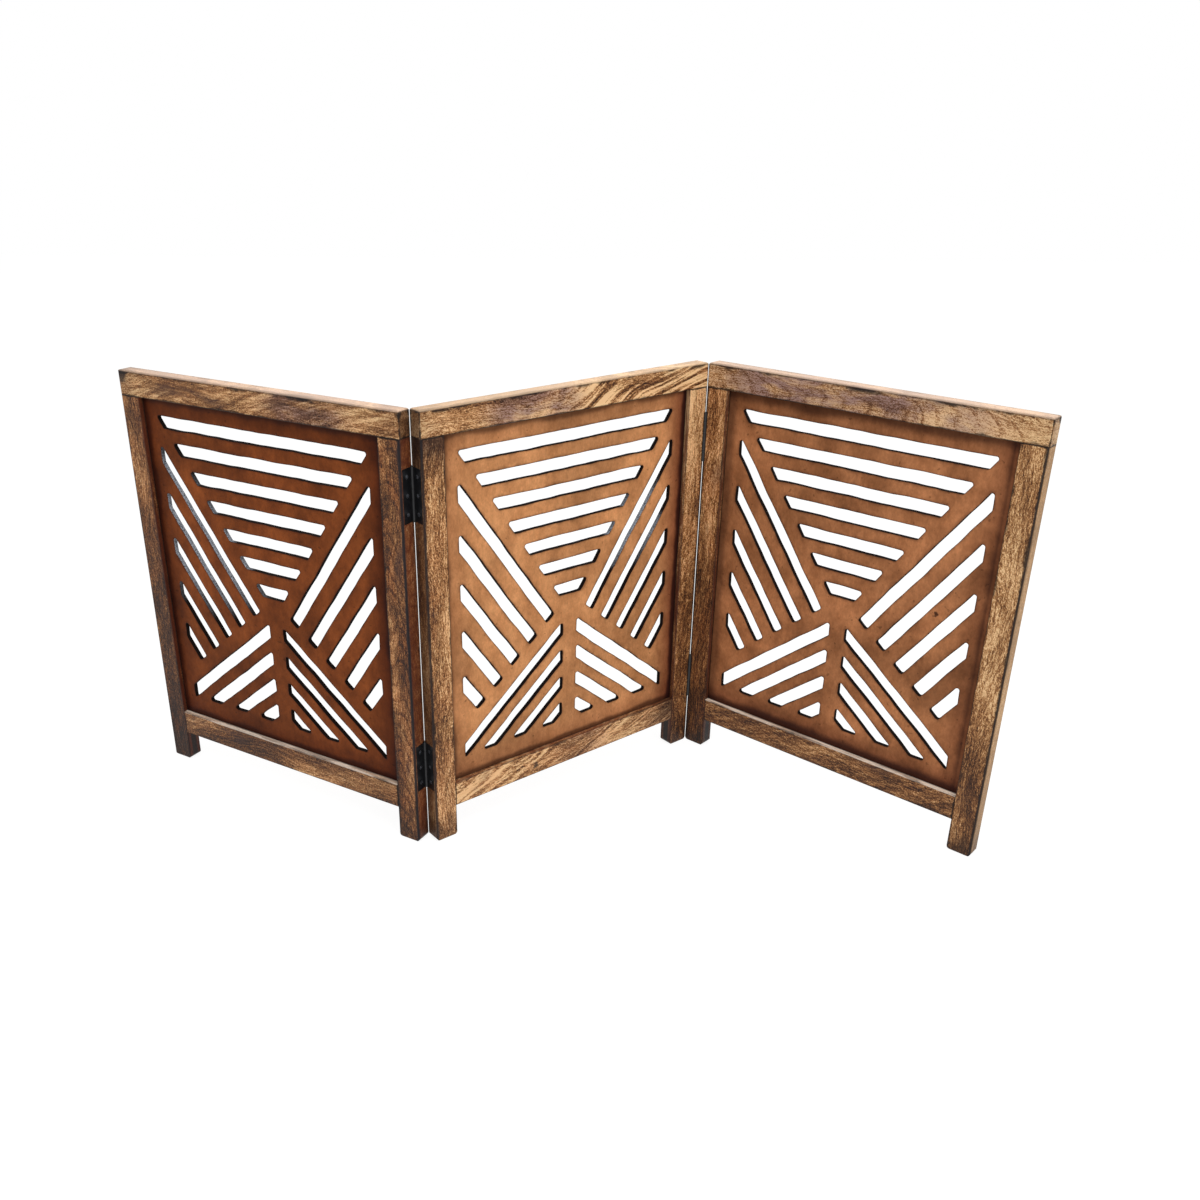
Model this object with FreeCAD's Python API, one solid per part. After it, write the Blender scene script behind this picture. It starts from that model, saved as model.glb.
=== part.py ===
import FreeCAD, Part
import math

# A folding screen of three framed jali panels, standing in a zigzag.
# Lengths are millimetres and angles are degrees.
# The origin is on the floor, under the middle of the standing screen.
# X runs along the screen to the right, Y runs away from the viewer, and Z is up.
# Each panel is drawn flat first, with x from its middle line, y back from its front face
# and z from the floor, and is then turned to the angle at which it stands.

# Frame of one panel
PANEL_HEIGHT = 610.0
PANEL_WIDTH = 480.0
FRAME_THICKNESS = 22.0
STILE_WIDTH = 34.0
TOP_RAIL_HEIGHT = 35.0
BOTTOM_RAIL_HEIGHT = 37.0
FOOT_HEIGHT = 48.0          # floor to the underside of the bottom rail
OUTER_ARRIS = 2.5           # rounding of the edges that hands touch
INNER_ARRIS = 1.0           # easing of the edges at the board and at the joints
FOLD_ARRIS = 0.3            # easing of the edges on which two panels fold
CORNER_ROUND = 4.0          # top corners, seen from the front
FOOT_ROUND = 7.0            # foot corners, seen from the front

# Angle at which each panel stands, turned about the upright
LEFT_PANEL_ANGLE = -27.7
MIDDLE_PANEL_ANGLE = 40.3
RIGHT_PANEL_ANGLE = -40.0

# Board held loose in a groove round the opening
BOARD_THICKNESS = 6.0
GROOVE_DEPTH = 8.0
GROOVE_PLAY = 0.1           # each side of the board
BOARD_EXPANSION = 1.0       # room for the board to swell, at its sides and top

# Stub tenons of the bottom rail
TENON_LENGTH = 18.0
TENON_THICKNESS = 8.0
TENON_SHOULDER = 3.0
MORTISE_PLAY = 0.1
MORTISE_SPARE = 1.0         # mortise deeper than the tenon is long

# Dowels that pin the top rail down on the stiles
DOWEL_DIAMETER = 8.0
DOWEL_LENGTH = 30.0
DOWEL_EDGE_DISTANCE = 7.5   # outer dowel's axis to the stile's outer edge
DOWEL_SPACING = 12.0
DOWEL_PLAY = 0.05
DOWEL_SPARE = 1.0           # hole deeper than the dowel at each end
DOWEL_CHAMFER = 0.8

# Slots cut through the board
SIDE_MARGIN = 22.1          # frame to the slots
TOP_MARGIN = 23.6
BOTTOM_MARGIN = 30.5
SLOT_WIDTH = 17.5           # level slots
BAR_WIDTH = 18.9            # wood between them
SIDE_SLOT_WIDTH = 16.4
SIDE_BAR_WIDTH = 22.0
LOWER_SLOT_WIDTH = 16.6
LOWER_BAR_WIDTH = 16.2
BAND_WIDTH = 22.0           # solid diagonals
SPINE_WIDTH = 24.7          # solid upright below the middle
HEEL_HEIGHT = 19.5          # outer end of the longest lower slot
SLOT_CORNER = 3.0           # the cutter's radius
upper_point_share = 0.396   # point of the hanging triangle, of the slotted height
lower_peak_share = 0.391    # meeting point of the lower diagonals, of the slotted height
least_slot_share = 1.5      # shortest slot that is cut, of its width
corner_reach_share = 0.45   # most of a side that one corner's rounding may take

# Folds. The hinges are let into the edges, and the pivot is close to the face of the frame,
# so that the stiles all but touch at the pivot, however the screen stands.
FOLD_GAP = 0.3              # between the two edges when the fold is flat
PIVOT_SET_OUT = 0.15        # pivot line to the face that folds inwards

# Butt hinges, two to each fold
HINGE_LENGTH = 70.0
UPPER_HINGE_DROP = 72.0     # top of the panel to the top of the hinge
LOWER_HINGE_RISE = 82.0     # floor to the bottom of the hinge
KNUCKLE_COUNT = 5
KNUCKLE_GAP = 0.3
LEAF_THICKNESS = 1.5
LEAF_SET_BACK = 2.5         # leaf's long edge to the frame's far face
LEAF_CORNER = 2.0
LEAF_PLAY = 0.2             # leaf to the sides of the recess that it lies in
BARREL_RADIUS = 3.0
BARREL_PLAY = 0.3           # barrel to the notches in the other leaf and in the stiles
PIN_DIAMETER = 3.2
PIN_PLAY = 0.05
PIN_HEAD_DIAMETER = 5.0
PIN_HEAD_HEIGHT = 1.2
pin_dome_share = 0.8        # rounding of a pin's head, of its height

# Countersunk wood screws
SCREWS_PER_LEAF = 3
SCREW_DIAMETER = 3.0
SCREW_LENGTH = 15.0
SCREW_HEAD_DIAMETER = 5.8
SCREW_TIP = 3.0
SCREW_PLAY = 0.1
SCREW_END_DISTANCE = 11.0   # end of the leaf to the first screw
PILOT_SPARE = 1.0           # pilot hole deeper than the screw
DRIVE_LENGTH = 3.2          # cross recess in the head
DRIVE_WIDTH = 0.9
DRIVE_DEPTH = 0.9

# One overrun for every cut that has to break through a face
OVERRUN = 2.0
SAME_PLACE = 0.001          # points nearer to a line than this lie on it

# Places worked out from the sizes above
half_width = PANEL_WIDTH / 2
half_thickness = FRAME_THICKNESS / 2
opening_half = half_width - STILE_WIDTH
opening_bottom = FOOT_HEIGHT + BOTTOM_RAIL_HEIGHT
opening_top = PANEL_HEIGHT - TOP_RAIL_HEIGHT
groove_floor = opening_bottom - GROOVE_DEPTH
fold_half_gap = FOLD_GAP / 2
knuckle_length = (HINGE_LENGTH - (KNUCKLE_COUNT - 1) * KNUCKLE_GAP) / KNUCKLE_COUNT
leaf_far_edge = LEAF_SET_BACK - FRAME_THICKNESS - PIVOT_SET_OUT
head_height = (SCREW_HEAD_DIAMETER - SCREW_DIAMETER) / 2
hinge_bottoms = {
    "upper": PANEL_HEIGHT - UPPER_HINGE_DROP - HINGE_LENGTH,
    "lower": LOWER_HINGE_RISE,
}

V = FreeCAD.Vector
ORIGIN = V(0, 0, 0)
X_AXIS = V(1, 0, 0)
Y_AXIS = V(0, 1, 0)
Z_AXIS = V(0, 0, 1)
LEFT, RIGHT = -1, 1
FRONT, BACK = -1, 1


def unit(vector):
    """The same direction, one long."""
    return vector * (1 / vector.Length)


def rounded_wire(points, radii):
    """Closed outline through the points, each corner rounded by its own radius."""
    stretches = []
    for i, corner in enumerate(points):
        to_last = points[i - 1] - corner
        to_next = points[(i + 1) % len(points)] - corner
        u, v = unit(to_last), unit(to_next)
        half_angle = u.getAngle(v) / 2
        reach = min(radii[i] / math.tan(half_angle),
                    corner_reach_share * min(to_last.Length, to_next.Length))
        if reach == 0:
            stretches.append((corner, None, corner))
            continue
        radius = reach * math.tan(half_angle)
        inward = unit(u + v)
        middle = corner + inward * (radius / math.sin(half_angle) - radius)
        stretches.append((corner + u * reach, middle, corner + v * reach))
    edges = []
    for i, (start, middle, end) in enumerate(stretches):
        if middle is not None:
            edges.append(Part.Arc(start, middle, end).toShape())
        edges.append(Part.LineSegment(end, stretches[(i + 1) % len(stretches)][0]).toShape())
    return Part.Wire(edges)


def prism(points, radii, along):
    """Solid with a rounded outline, pushed along a straight line."""
    return Part.Face(rounded_wire(points, radii)).extrude(along)


def block(low, high):
    """Plain box between two corners."""
    size = high - low
    return Part.makeBox(size.x, size.y, size.z, low)


def rounded_bar(x0, x1, z0, z1, plan_radii, front_radii, end_radii):
    """Bar of the frame, rounded as it is seen from above, from the front and from its end.

    The radii start at the left front, the lower left and the lower front corner and go round.
    """
    y0, y1 = 0, FRAME_THICKNESS
    low, high = z0 - OVERRUN, z1 + OVERRUN
    plan = prism([V(x0, y0, low), V(x1, y0, low), V(x1, y1, low), V(x0, y1, low)],
                 plan_radii, Z_AXIS * (high - low))
    low, high = y0 - OVERRUN, y1 + OVERRUN
    front = prism([V(x0, low, z0), V(x1, low, z0), V(x1, low, z1), V(x0, low, z1)],
                  front_radii, Y_AXIS * (high - low))
    low, high = x0 - OVERRUN, x1 + OVERRUN
    end = prism([V(low, y0, z0), V(low, y1, z0), V(low, y1, z1), V(low, y0, z1)],
                end_radii, X_AXIS * (high - low))
    return plan.common(front).common(end)


def groove_cutter(x0, x1, z0, z1):
    """Block as thick as the groove that holds the board."""
    reach = BOARD_THICKNESS / 2 + GROOVE_PLAY
    return block(V(x0, half_thickness - reach, z0), V(x1, half_thickness + reach, z1))


def tenon_block(side, play, spare):
    """The bottom rail's stub tenon at one end, or the mortise for it."""
    inner = opening_half - (OVERRUN if spare else 0)
    outer = opening_half + TENON_LENGTH + spare
    thick = TENON_THICKNESS / 2 + play
    low = V(min(side * inner, side * outer), half_thickness - thick,
            FOOT_HEIGHT + TENON_SHOULDER - play)
    high = V(max(side * inner, side * outer), half_thickness + thick,
             groove_floor - TENON_SHOULDER + play)
    return block(low, high)


def dowel_places():
    """Axes of the four dowels of a panel, along its width."""
    outer = half_width - DOWEL_EDGE_DISTANCE
    return [side * x for side in (LEFT, RIGHT) for x in (outer, outer - DOWEL_SPACING)]


def dowel_holes():
    """Holes across the joint between the top rail and the stiles."""
    radius = DOWEL_DIAMETER / 2 + DOWEL_PLAY
    depth = DOWEL_LENGTH / 2 + DOWEL_SPARE
    base = opening_top - depth
    return [Part.makeCylinder(radius, 2 * depth, V(x, half_thickness, base)) for x in dowel_places()]


def dowels():
    """Four loose dowels with chamfered ends."""
    pegs = []
    for x in dowel_places():
        base = V(x, half_thickness, opening_top - DOWEL_LENGTH / 2)
        peg = Part.makeCylinder(DOWEL_DIAMETER / 2, DOWEL_LENGTH, base)
        rims = [edge for edge in peg.Edges if edge.Closed]
        pegs.append(peg.makeChamfer(DOWEL_CHAMFER, rims))
    return Part.makeCompound(pegs)


def upright_arrises(pivot_faces):
    """Radii of a panel's four upright edges, seen from above, starting at the left front.

    pivot_faces holds the face at which each hinged edge of the panel has its pivot.
    """
    corners = ((LEFT, FRONT), (RIGHT, FRONT), (RIGHT, BACK), (LEFT, BACK))
    return [FOLD_ARRIS if pivot_faces.get(side) == face else OUTER_ARRIS for side, face in corners]


def stile(side, pivot_faces):
    """Upright of the frame, with its foot; side is the edge of the panel that it stands at."""
    x0 = min(side * half_width, side * opening_half)
    x1 = x0 + STILE_WIDTH
    outer, inner = OUTER_ARRIS, INNER_ARRIS
    left_front, right_front, right_back, left_back = upright_arrises(pivot_faces)
    if side == RIGHT:
        plan_radii = [inner, right_front, right_back, inner]
    else:
        plan_radii = [left_front, inner, inner, left_back]
    bar = rounded_bar(x0, x1, 0, opening_top, plan_radii,
                      [FOOT_ROUND, FOOT_ROUND, 0, 0], [outer, outer, inner, inner])
    inner_face = side * opening_half
    groove_end = side * (opening_half + GROOVE_DEPTH)
    past_face = inner_face - side * OVERRUN
    cuts = [
        groove_cutter(min(past_face, groove_end), max(past_face, groove_end),
                      groove_floor, opening_top + OVERRUN),
        tenon_block(side, MORTISE_PLAY, MORTISE_SPARE),
    ]
    cuts += dowel_holes()
    if side in pivot_faces:
        for base in hinge_bottoms.values():
            cuts += [on_edge(cut, side, pivot_faces[side]) for cut in hinge_cuts(base)]
    return bar.cut(Part.makeCompound(cuts))


def top_rail(pivot_faces):
    """Rail that lies across both stiles."""
    outer, inner = OUTER_ARRIS, INNER_ARRIS
    bar = rounded_bar(-half_width, half_width, opening_top, PANEL_HEIGHT, upright_arrises(pivot_faces),
                      [0, 0, CORNER_ROUND, CORNER_ROUND], [inner, inner, outer, outer])
    reach = opening_half + GROOVE_DEPTH
    groove = groove_cutter(-reach, reach, opening_top - OVERRUN, opening_top + GROOVE_DEPTH)
    return bar.cut(Part.makeCompound([groove] + dowel_holes()))


def bottom_rail():
    """Rail between the stiles, with a stub tenon at each end."""
    bar = rounded_bar(-opening_half, opening_half, FOOT_HEIGHT, opening_bottom,
                      [0] * 4, [0] * 4, [INNER_ARRIS] * 4)
    reach = opening_half + OVERRUN
    groove = groove_cutter(-reach, reach, groove_floor, opening_bottom + OVERRUN)
    bar = bar.cut(groove)
    return bar.fuse([tenon_block(side, 0, 0) for side in (LEFT, RIGHT)]).removeSplitter()


def depth_inside(point, edge_point, inward):
    """How far a point lies on the inner side of a line."""
    depth = (point - edge_point).dot(inward)
    return 0 if abs(depth) < SAME_PLACE else depth


def clipped(points, edge_point, inward):
    """What is left of a convex outline on the inner side of a line."""
    kept = []
    for i, point in enumerate(points):
        last = points[i - 1]
        depth = depth_inside(point, edge_point, inward)
        last_depth = depth_inside(last, edge_point, inward)
        if depth * last_depth < 0:
            kept.append(last + (point - last) * (last_depth / (last_depth - depth)))
        if depth >= 0:
            kept.append(point)
    return kept


def crossing(point_a, way_a, point_b, way_b):
    """Where two lines in the board's plane meet."""
    gap = point_b - point_a
    across = way_a.x * way_b.z - way_a.z * way_b.x
    return point_a + way_a * ((gap.x * way_b.z - gap.z * way_b.x) / across)


def chord(points, on_line, way, across):
    """Length of a line that lies inside a convex outline."""
    marks = []
    for i, point in enumerate(points):
        last = points[i - 1]
        depth = depth_inside(point, on_line, across)
        last_depth = depth_inside(last, on_line, across)
        if depth * last_depth <= 0 and depth != last_depth:
            meeting = last + (point - last) * (last_depth / (last_depth - depth))
            marks.append(meeting.dot(way))
    return max(marks) - min(marks) if marks else 0


def strips(region, edge_start, edge_end, slot_width, bar_width):
    """Slots side by side across a region, the first along the given edge of it."""
    way = unit(edge_end - edge_start)
    across = V(-way.z, 0, way.x)
    middle = sum(region, V(0, 0, 0)) * (1 / len(region))
    if (middle - edge_start).dot(across) < 0:
        across = across * -1
    depth = max((point - edge_start).dot(across) for point in region)
    slots = []
    start = 0
    while start + slot_width / 2 < depth:
        near = edge_start + across * start
        if chord(region, near + across * (slot_width / 2), way, across) > least_slot_share * slot_width:
            far = near + across * slot_width
            slots.append(clipped(clipped(region, near, across), far, across * -1))
        start += slot_width + bar_width
    return slots


def slot_outlines():
    """All the slots of a board, as corner points in the board's plane."""
    side = opening_half - SIDE_MARGIN
    top = opening_top - TOP_MARGIN
    bottom = opening_bottom + BOTTOM_MARGIN
    point = V(0, 0, bottom + upper_point_share * (top - bottom))
    peak = V(0, 0, bottom + lower_peak_share * (top - bottom))
    top_corner = V(-side, 0, top)
    heel = V(-side, 0, bottom + HEEL_HEIGHT)
    upper_way = unit(point - top_corner)
    lower_way = unit(peak - heel)
    below_upper = top_corner + V(upper_way.z, 0, -upper_way.x) * BAND_WIDTH
    above_lower = heel + V(-lower_way.z, 0, lower_way.x) * BAND_WIDTH

    hanging = [top_corner, V(side, 0, top), point]
    level_slots = strips(hanging, top_corner, V(side, 0, top), SLOT_WIDTH, BAR_WIDTH)

    outer_top = crossing(below_upper, upper_way, V(-side, 0, 0), Z_AXIS)
    outer_bottom = crossing(above_lower, lower_way, V(-side, 0, 0), Z_AXIS)
    inner_point = crossing(below_upper, upper_way, above_lower, lower_way)
    side_slots = strips([outer_top, inner_point, outer_bottom], outer_top, inner_point,
                        SIDE_SLOT_WIDTH, SIDE_BAR_WIDTH)

    spine = V(-SPINE_WIDTH / 2, 0, bottom)
    spine_top = crossing(heel, lower_way, spine, Z_AXIS)
    lower_slots = strips([heel, spine_top, spine, V(-side, 0, bottom)], heel, spine_top,
                         LOWER_SLOT_WIDTH, LOWER_BAR_WIDTH)

    left_half = side_slots + lower_slots
    right_half = [[V(-corner.x, 0, corner.z) for corner in slot] for slot in left_half]
    return level_slots + left_half + right_half


def slotted_board():
    """Thin board with its slots, standing in the groove."""
    reach = opening_half + GROOVE_DEPTH - BOARD_EXPANSION
    top = opening_top + GROOVE_DEPTH - BOARD_EXPANSION
    corners = [V(-reach, 0, groove_floor), V(reach, 0, groove_floor), V(reach, 0, top), V(-reach, 0, top)]
    wires = [Part.makePolygon(corners + corners[:1])]
    wires += [rounded_wire(slot, [SLOT_CORNER] * len(slot)) for slot in slot_outlines()]
    board = Part.makeFace(wires, "Part::FaceMakerBullseye").extrude(Y_AXIS * BOARD_THICKNESS)
    board.translate(Y_AXIS * (half_thickness - BOARD_THICKNESS / 2))
    return board


# A hinge is drawn about its own pivot line, on a right-hand edge with its pivot at the back:
# the stile's edge face is at x = -fold_half_gap and its back face at y = -PIVOT_SET_OUT.
# The leaf lies in a recess as deep as the leaf is thick, and the barrel in a rounded notch.


def pivot_in_panel(side, face):
    """Pivot line of a fold in the flat panel's own measure."""
    out = half_thickness + PIVOT_SET_OUT
    return V(side * (half_width + fold_half_gap), half_thickness + face * out, 0)


def on_edge(shape, side, face):
    """A piece of a hinge moved to the left or right edge, with its pivot in front or behind."""
    if side == LEFT:
        shape = shape.mirror(ORIGIN, X_AXIS)
    if face == FRONT:
        shape = shape.mirror(ORIGIN, Y_AXIS)
    shape.translate(pivot_in_panel(side, face))
    return shape


def screw_heights(base):
    """Heights of the screws in one leaf."""
    step = (HINGE_LENGTH - 2 * SCREW_END_DISTANCE) / (SCREWS_PER_LEAF - 1)
    return [base + SCREW_END_DISTANCE + i * step for i in range(SCREWS_PER_LEAF)]


def screw_seat(height):
    """Point on a leaf's outer face where a screw's axis meets it."""
    return V(-fold_half_gap, -PIVOT_SET_OUT - half_thickness, height)


def pilot_holes(base):
    """Holes that the screws of one leaf bite into, seen from the pivot."""
    radius = SCREW_DIAMETER / 2 + SCREW_PLAY
    return [Part.makeCylinder(radius, SCREW_LENGTH + PILOT_SPARE, screw_seat(z), X_AXIS * -1)
            for z in screw_heights(base)]


def hinge_cuts(base):
    """What one hinge takes out of a stile: the leaf's recess, the barrel's notch and the holes."""
    low = V(-fold_half_gap - LEAF_THICKNESS, leaf_far_edge - LEAF_PLAY, base - LEAF_PLAY)
    high = V(OVERRUN, OVERRUN, base + HINGE_LENGTH + LEAF_PLAY)
    past_head = PIN_HEAD_HEIGHT + LEAF_PLAY
    notch = Part.makeCylinder(BARREL_RADIUS + BARREL_PLAY, HINGE_LENGTH + 2 * past_head,
                              V(0, 0, base - past_head))
    return [block(low, high), notch] + pilot_holes(base)


def screw(height):
    """Countersunk screw with a cross recess, its head flush with the leaf."""
    seat = screw_seat(height)
    inward = X_AXIS * -1
    shank_length = SCREW_LENGTH - head_height - SCREW_TIP
    head = Part.makeCone(SCREW_HEAD_DIAMETER / 2, SCREW_DIAMETER / 2, head_height, seat, inward)
    shank_start = seat + inward * head_height
    shank = Part.makeCylinder(SCREW_DIAMETER / 2, shank_length, shank_start, inward)
    tip = Part.makeCone(SCREW_DIAMETER / 2, 0, SCREW_TIP, shank_start + inward * shank_length, inward)
    body = head.fuse([shank, tip])
    half_length, half_wide = DRIVE_LENGTH / 2, DRIVE_WIDTH / 2
    for tall, wide in ((half_length, half_wide), (half_wide, half_length)):
        low = seat + V(-DRIVE_DEPTH, -wide, -tall)
        body = body.cut(block(low, seat + V(OVERRUN, wide, tall)))
    return body


def screws(base):
    """The screws of one leaf, as a group."""
    return Part.makeCompound([screw(z) for z in screw_heights(base)])


def leaf(base, own_knuckles):
    """Hinge leaf with its knuckles round the pivot line and its countersunk holes."""
    top = base + HINGE_LENGTH
    x0 = -fold_half_gap - LEAF_THICKNESS
    outline = [V(x0, leaf_far_edge, base), V(x0, 0, base), V(x0, 0, top), V(x0, leaf_far_edge, top)]
    plate = prism(outline, [LEAF_CORNER, 0, 0, LEAF_CORNER], X_AXIS * LEAF_THICKNESS)
    rings, notches = [], []
    for k in range(KNUCKLE_COUNT):
        start = base + k * (knuckle_length + KNUCKLE_GAP)
        if k in own_knuckles:
            rings.append(Part.makeCylinder(BARREL_RADIUS, knuckle_length, V(0, 0, start)))
        else:
            notches.append(Part.makeCylinder(BARREL_RADIUS + BARREL_PLAY, knuckle_length + 2 * KNUCKLE_GAP,
                                             V(0, 0, start - KNUCKLE_GAP)))
    bore = Part.makeCylinder(PIN_DIAMETER / 2 + PIN_PLAY, HINGE_LENGTH + 2 * OVERRUN,
                             V(0, 0, base - OVERRUN))
    sinks = []
    for z in screw_heights(base):
        wide = SCREW_HEAD_DIAMETER / 2 + SCREW_PLAY
        sinks.append(Part.makeCone(wide, wide - head_height, head_height, screw_seat(z), X_AXIS * -1))
        sinks.append(Part.makeCylinder(SCREW_DIAMETER / 2 + SCREW_PLAY, LEAF_THICKNESS + OVERRUN,
                                       screw_seat(z), X_AXIS * -1))
    plate = plate.cut(Part.makeCompound(notches)).fuse(rings)
    return plate.cut(Part.makeCompound([bore] + sinks)).removeSplitter()


def pin_head(base, way):
    """Domed head at one end of a pin."""
    head = Part.makeCylinder(PIN_HEAD_DIAMETER / 2, PIN_HEAD_HEIGHT, base, way)
    circles = [edge for edge in head.Edges if edge.Closed]
    far_rim = max(circles, key=lambda edge: edge.CenterOfMass.dot(way))
    return head.makeFillet(pin_dome_share * PIN_HEAD_HEIGHT, [far_rim])


def pin(base):
    """Hinge pin, headed at both ends so that it stays in."""
    rod = Part.makeCylinder(PIN_DIAMETER / 2, HINGE_LENGTH, V(0, 0, base))
    heads = [pin_head(V(0, 0, base + HINGE_LENGTH), Z_AXIS), pin_head(V(0, 0, base), Z_AXIS * -1)]
    return rod.fuse(heads).removeSplitter()


# Where the panels stand. The pivots are found from the middle panel outwards.


def turned(point, turn):
    """A point of a flat panel after the panel is turned about the upright."""
    return FreeCAD.Rotation(Z_AXIS, turn).multVec(point)


turns = {"left_panel": LEFT_PANEL_ANGLE, "middle_panel": MIDDLE_PANEL_ANGLE, "right_panel": RIGHT_PANEL_ANGLE}
left_pivot = turned(pivot_in_panel(LEFT, BACK), MIDDLE_PANEL_ANGLE)
right_pivot = turned(pivot_in_panel(RIGHT, FRONT), MIDDLE_PANEL_ANGLE)
bases = {
    "left_panel": left_pivot - turned(pivot_in_panel(RIGHT, BACK), LEFT_PANEL_ANGLE),
    "middle_panel": V(0, 0, 0),
    "right_panel": right_pivot - turned(pivot_in_panel(LEFT, FRONT), RIGHT_PANEL_ANGLE),
}

# The outer corners are arcs, so the extremes are their centres plus the radius.
inset_x = half_width - OUTER_ARRIS
arc_centres = [bases[name] + turned(V(x, y, 0), turn)
               for name, turn in turns.items()
               for x in (-inset_x, inset_x)
               for y in (OUTER_ARRIS, FRAME_THICKNESS - OUTER_ARRIS)]
middle_x = (min(p.x for p in arc_centres) + max(p.x for p in arc_centres)) / 2
middle_y = (min(p.y for p in arc_centres) + max(p.y for p in arc_centres)) / 2
centre = V(middle_x, middle_y, 0)


def stand(shape, panel):
    """A piece of a flat panel, moved to where the panel stands."""
    rotation = FreeCAD.Rotation(Z_AXIS, turns[panel])
    placed = shape.copy()
    placed.Placement = FreeCAD.Placement(bases[panel] - centre, rotation).multiply(placed.Placement)
    return placed


# Each fold: the panel and edge on either side of it, and the face that its pivot is at.
folds = {
    "left_fold": (("left_panel", RIGHT), ("middle_panel", LEFT), BACK),
    "right_fold": (("middle_panel", RIGHT), ("right_panel", LEFT), FRONT),
}
pivot_faces_of = {panel: {} for panel in turns}
for left_edge, right_edge, face in folds.values():
    for panel, side in (left_edge, right_edge):
        pivot_faces_of[panel][side] = face

alike = {
    "bottom_rail": bottom_rail(),
    "slotted_board": slotted_board(),
    "dowels": dowels(),
}
pieces = {}
for panel, pivot_faces in pivot_faces_of.items():
    pieces[panel + "_left_stile"] = stand(stile(LEFT, pivot_faces), panel)
    pieces[panel + "_right_stile"] = stand(stile(RIGHT, pivot_faces), panel)
    pieces[panel + "_top_rail"] = stand(top_rail(pivot_faces), panel)
    for name, shape in alike.items():
        pieces[panel + "_" + name] = stand(shape, panel)

# The middle panel's leaves have the end knuckles, and so the pins stay with them.
end_knuckles = range(0, KNUCKLE_COUNT, 2)
other_knuckles = range(1, KNUCKLE_COUNT, 2)
for fold, (left_edge, right_edge, face) in folds.items():
    for level, base in hinge_bottoms.items():
        hinge = fold + "_" + level + "_hinge_"
        for hand, (panel, side) in (("left", left_edge), ("right", right_edge)):
            knuckles = end_knuckles if panel == "middle_panel" else other_knuckles
            pieces[hinge + hand + "_leaf"] = stand(on_edge(leaf(base, knuckles), side, face), panel)
            pieces[hinge + hand + "_screws"] = stand(on_edge(screws(base), side, face), panel)
        middle_side = left_edge[1] if left_edge[0] == "middle_panel" else right_edge[1]
        pieces[hinge + "pin"] = stand(on_edge(pin(base), middle_side, face), "middle_panel")

for name, shape in pieces.items():
    shape.exportStep("parts/" + name + ".step")

for name, pivot in (("left_fold", left_pivot), ("right_fold", right_pivot)):
    place = pivot - centre
    print(name, "pivot at x %.4f y %.4f" % (place.x, place.y))
foot = turned(V(STILE_WIDTH / 2 - half_width, half_thickness, 0), MIDDLE_PANEL_ANGLE) - centre
print("middle of the middle panel's left foot at x %.4f y %.4f" % (foot.x, foot.y))
print(len(pieces), "nodes,", sum(len(shape.Solids) for shape in pieces.values()), "solids,",
      "all valid" if all(shape.isValid() for shape in pieces.values()) else "some not valid")
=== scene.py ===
import math

import bmesh
import bpy
from mathutils import Matrix, Vector
from mathutils.bvhtree import BVHTree


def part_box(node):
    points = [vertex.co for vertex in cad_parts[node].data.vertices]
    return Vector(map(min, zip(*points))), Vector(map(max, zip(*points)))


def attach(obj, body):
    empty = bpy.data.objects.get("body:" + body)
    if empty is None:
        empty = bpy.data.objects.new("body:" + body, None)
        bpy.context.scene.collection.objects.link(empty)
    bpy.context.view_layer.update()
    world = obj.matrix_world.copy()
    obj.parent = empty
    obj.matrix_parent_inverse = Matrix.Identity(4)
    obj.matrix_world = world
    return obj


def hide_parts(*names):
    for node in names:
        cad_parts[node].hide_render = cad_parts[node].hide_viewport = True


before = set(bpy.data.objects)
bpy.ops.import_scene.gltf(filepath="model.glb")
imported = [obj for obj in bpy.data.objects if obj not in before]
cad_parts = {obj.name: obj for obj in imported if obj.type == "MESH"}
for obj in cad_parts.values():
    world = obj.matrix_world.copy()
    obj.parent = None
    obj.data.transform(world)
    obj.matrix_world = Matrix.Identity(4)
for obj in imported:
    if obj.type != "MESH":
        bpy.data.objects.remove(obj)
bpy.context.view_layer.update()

# How far each panel is turned from the picture's width as the screen stands, in degrees.
PANEL_TURN = {"left": -27.7, "middle": 40.3, "right": -40.0}

# Half sizes of the bars in metres: along the grain, from front to back, and across.
HALF_STILE = (0.2875, 0.011, 0.017)
HALF_TOP_RAIL = (0.240, 0.011, 0.0175)
HALF_BOTTOM_RAIL = (0.206, 0.011, 0.0185)
# For wood that shows no arris, such as a dowel.
HALF_WITHOUT_ARRIS = (0.3, 0.3, 0.3)

# The opening that the bars leave, in metres in the panel: half its width, its bottom and its top.
OPENING_HALF = 0.206
OPENING_BOTTOM = 0.085
OPENING_TOP = 0.575
# All slots end within this half width. The middle of the board lies this deep in the panel.
SLOTTED_HALF = 0.200
BOARD_MIDDLE_DEPTH = 0.011

# How a board is worked, in metres: its rims are divided and softened, its faces sliced.
LONGEST_RIM = 0.009
RIM_SOFTENING = 0.0005
SLICE_STEP = 0.006
SLICED_HALF = 0.198
SLICED_BOTTOM = 0.092
SLICED_TOP = 0.568
# Its slots' outlines waver by this much, over waves of these sizes, but not near the frame.
CUTTER_WAVER = 0.0022
SIDEWAYS_WAVE = 0.045
UPWARDS_WAVE = 0.038
CALM_MARGIN = 0.015
# The distance to the nearest slot is kept on the board up to this many millimetres.
FARTHEST_KEPT = 12.0


def linear(value):
    """One channel of a screen colour, 0 to 255, as light."""
    share = value / 255.0
    if share <= 0.04045:
        return share / 12.92
    return ((share + 0.055) / 1.055) ** 2.4


def tone(red, green, blue):
    return (linear(red), linear(green), linear(blue), 1.0)


WHITE = (1.0, 1.0, 1.0, 1.0)

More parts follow.
